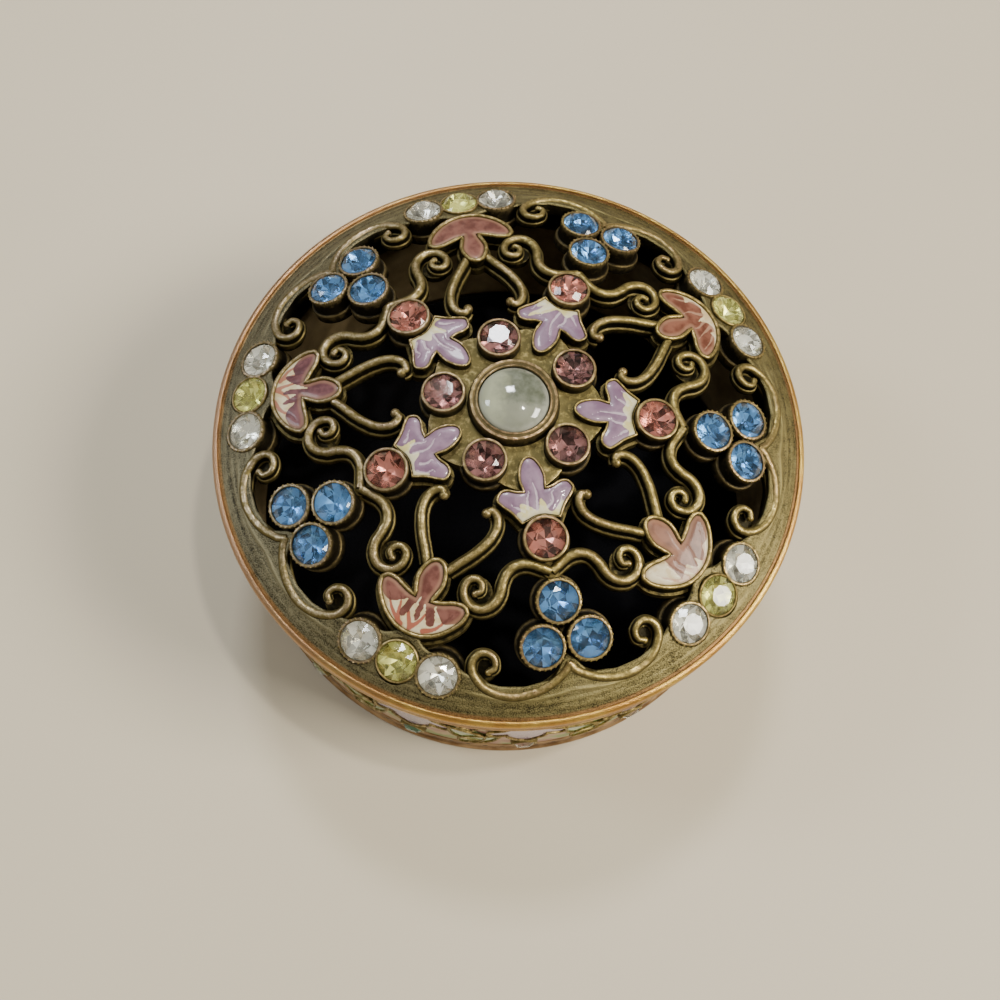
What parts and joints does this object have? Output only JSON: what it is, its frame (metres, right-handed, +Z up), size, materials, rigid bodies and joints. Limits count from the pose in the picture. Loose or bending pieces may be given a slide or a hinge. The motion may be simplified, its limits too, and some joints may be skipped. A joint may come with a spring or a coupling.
{
  "type": "enamelled trinket box",
  "caption": "Low round trinket box with a pierced, domed lift-off lid, set with faceted stones and filled with enamel flowers.",
  "frame": {"origin": "middle of the flat underside", "axes": "+Z up through the middle of the lid; +X through one of the five blue stone groups of the lid"},
  "size_m": [0.06, 0.0598, 0.0312],
  "materials": {
    "antique_brass": "antiqued cast brass, bright on raised edges and dark in the hollows",
    "black_velvet": "short black pile",
    "lavender_enamel": "opaque glossy lavender enamel with a cream base",
    "rose_enamel": "opaque glossy dusty rose enamel with brick red and white streaks",
    "pink_stone": "foil-backed faceted glass",
    "blue_stone": "foil-backed faceted glass",
    "amethyst_stone": "foil-backed faceted glass",
    "yellow_stone": "foil-backed faceted glass",
    "clear_stone": "foil-backed faceted glass",
    "moonstone": "milky greenish white glass, polished"
  },
  "bodies": {
    "root": {"amethyst_1": "amethyst_stone", "amethyst_2": "amethyst_stone", "amethyst_3": "amethyst_stone", "amethyst_4": "amethyst_stone", "amethyst_5": "amethyst_stone", "blue_inner_1": "blue_stone", "blue_inner_2": "blue_stone", "blue_inner_3": "blue_stone", "blue_inner_4": "blue_stone", "blue_inner_5": "blue_stone", "blue_left_1": "blue_stone", "blue_left_2": "blue_stone", "blue_left_3": "blue_stone", "blue_left_4": "blue_stone", "blue_left_5": "blue_stone", "blue_right_1": "blue_stone", "blue_right_2": "blue_stone", "blue_right_3": "blue_stone", "blue_right_4": "blue_stone", "blue_right_5": "blue_stone", "box_body": "antique_brass", "bud_enamel_1": "lavender_enamel", "bud_enamel_2": "lavender_enamel", "bud_enamel_3": "lavender_enamel", "bud_enamel_4": "lavender_enamel", "bud_enamel_5": "lavender_enamel", "cabochon": "moonstone", "clear_left_1": "clear_stone", "clear_left_2": "clear_stone", "clear_left_3": "clear_stone", "clear_left_4": "clear_stone", "clear_left_5": "clear_stone", "clear_right_1": "clear_stone", "clear_right_2": "clear_stone", "clear_right_3": "clear_stone", "clear_right_4": "clear_stone", "clear_right_5": "clear_stone", "floor_lining": "black_velvet", "lid": "antique_brass", "pink_stone_1": "pink_stone", "pink_stone_2": "pink_stone", "pink_stone_3": "pink_stone", "pink_stone_4": "pink_stone", "pink_stone_5": "pink_stone", "rose_enamel_1": "rose_enamel", "rose_enamel_2": "rose_enamel", "rose_enamel_3": "rose_enamel", "rose_enamel_4": "rose_enamel", "rose_enamel_5": "rose_enamel", "yellow_stone_1": "yellow_stone", "yellow_stone_2": "yellow_stone", "yellow_stone_3": "yellow_stone", "yellow_stone_4": "yellow_stone", "yellow_stone_5": "yellow_stone"}
  },
  "joints": []
}
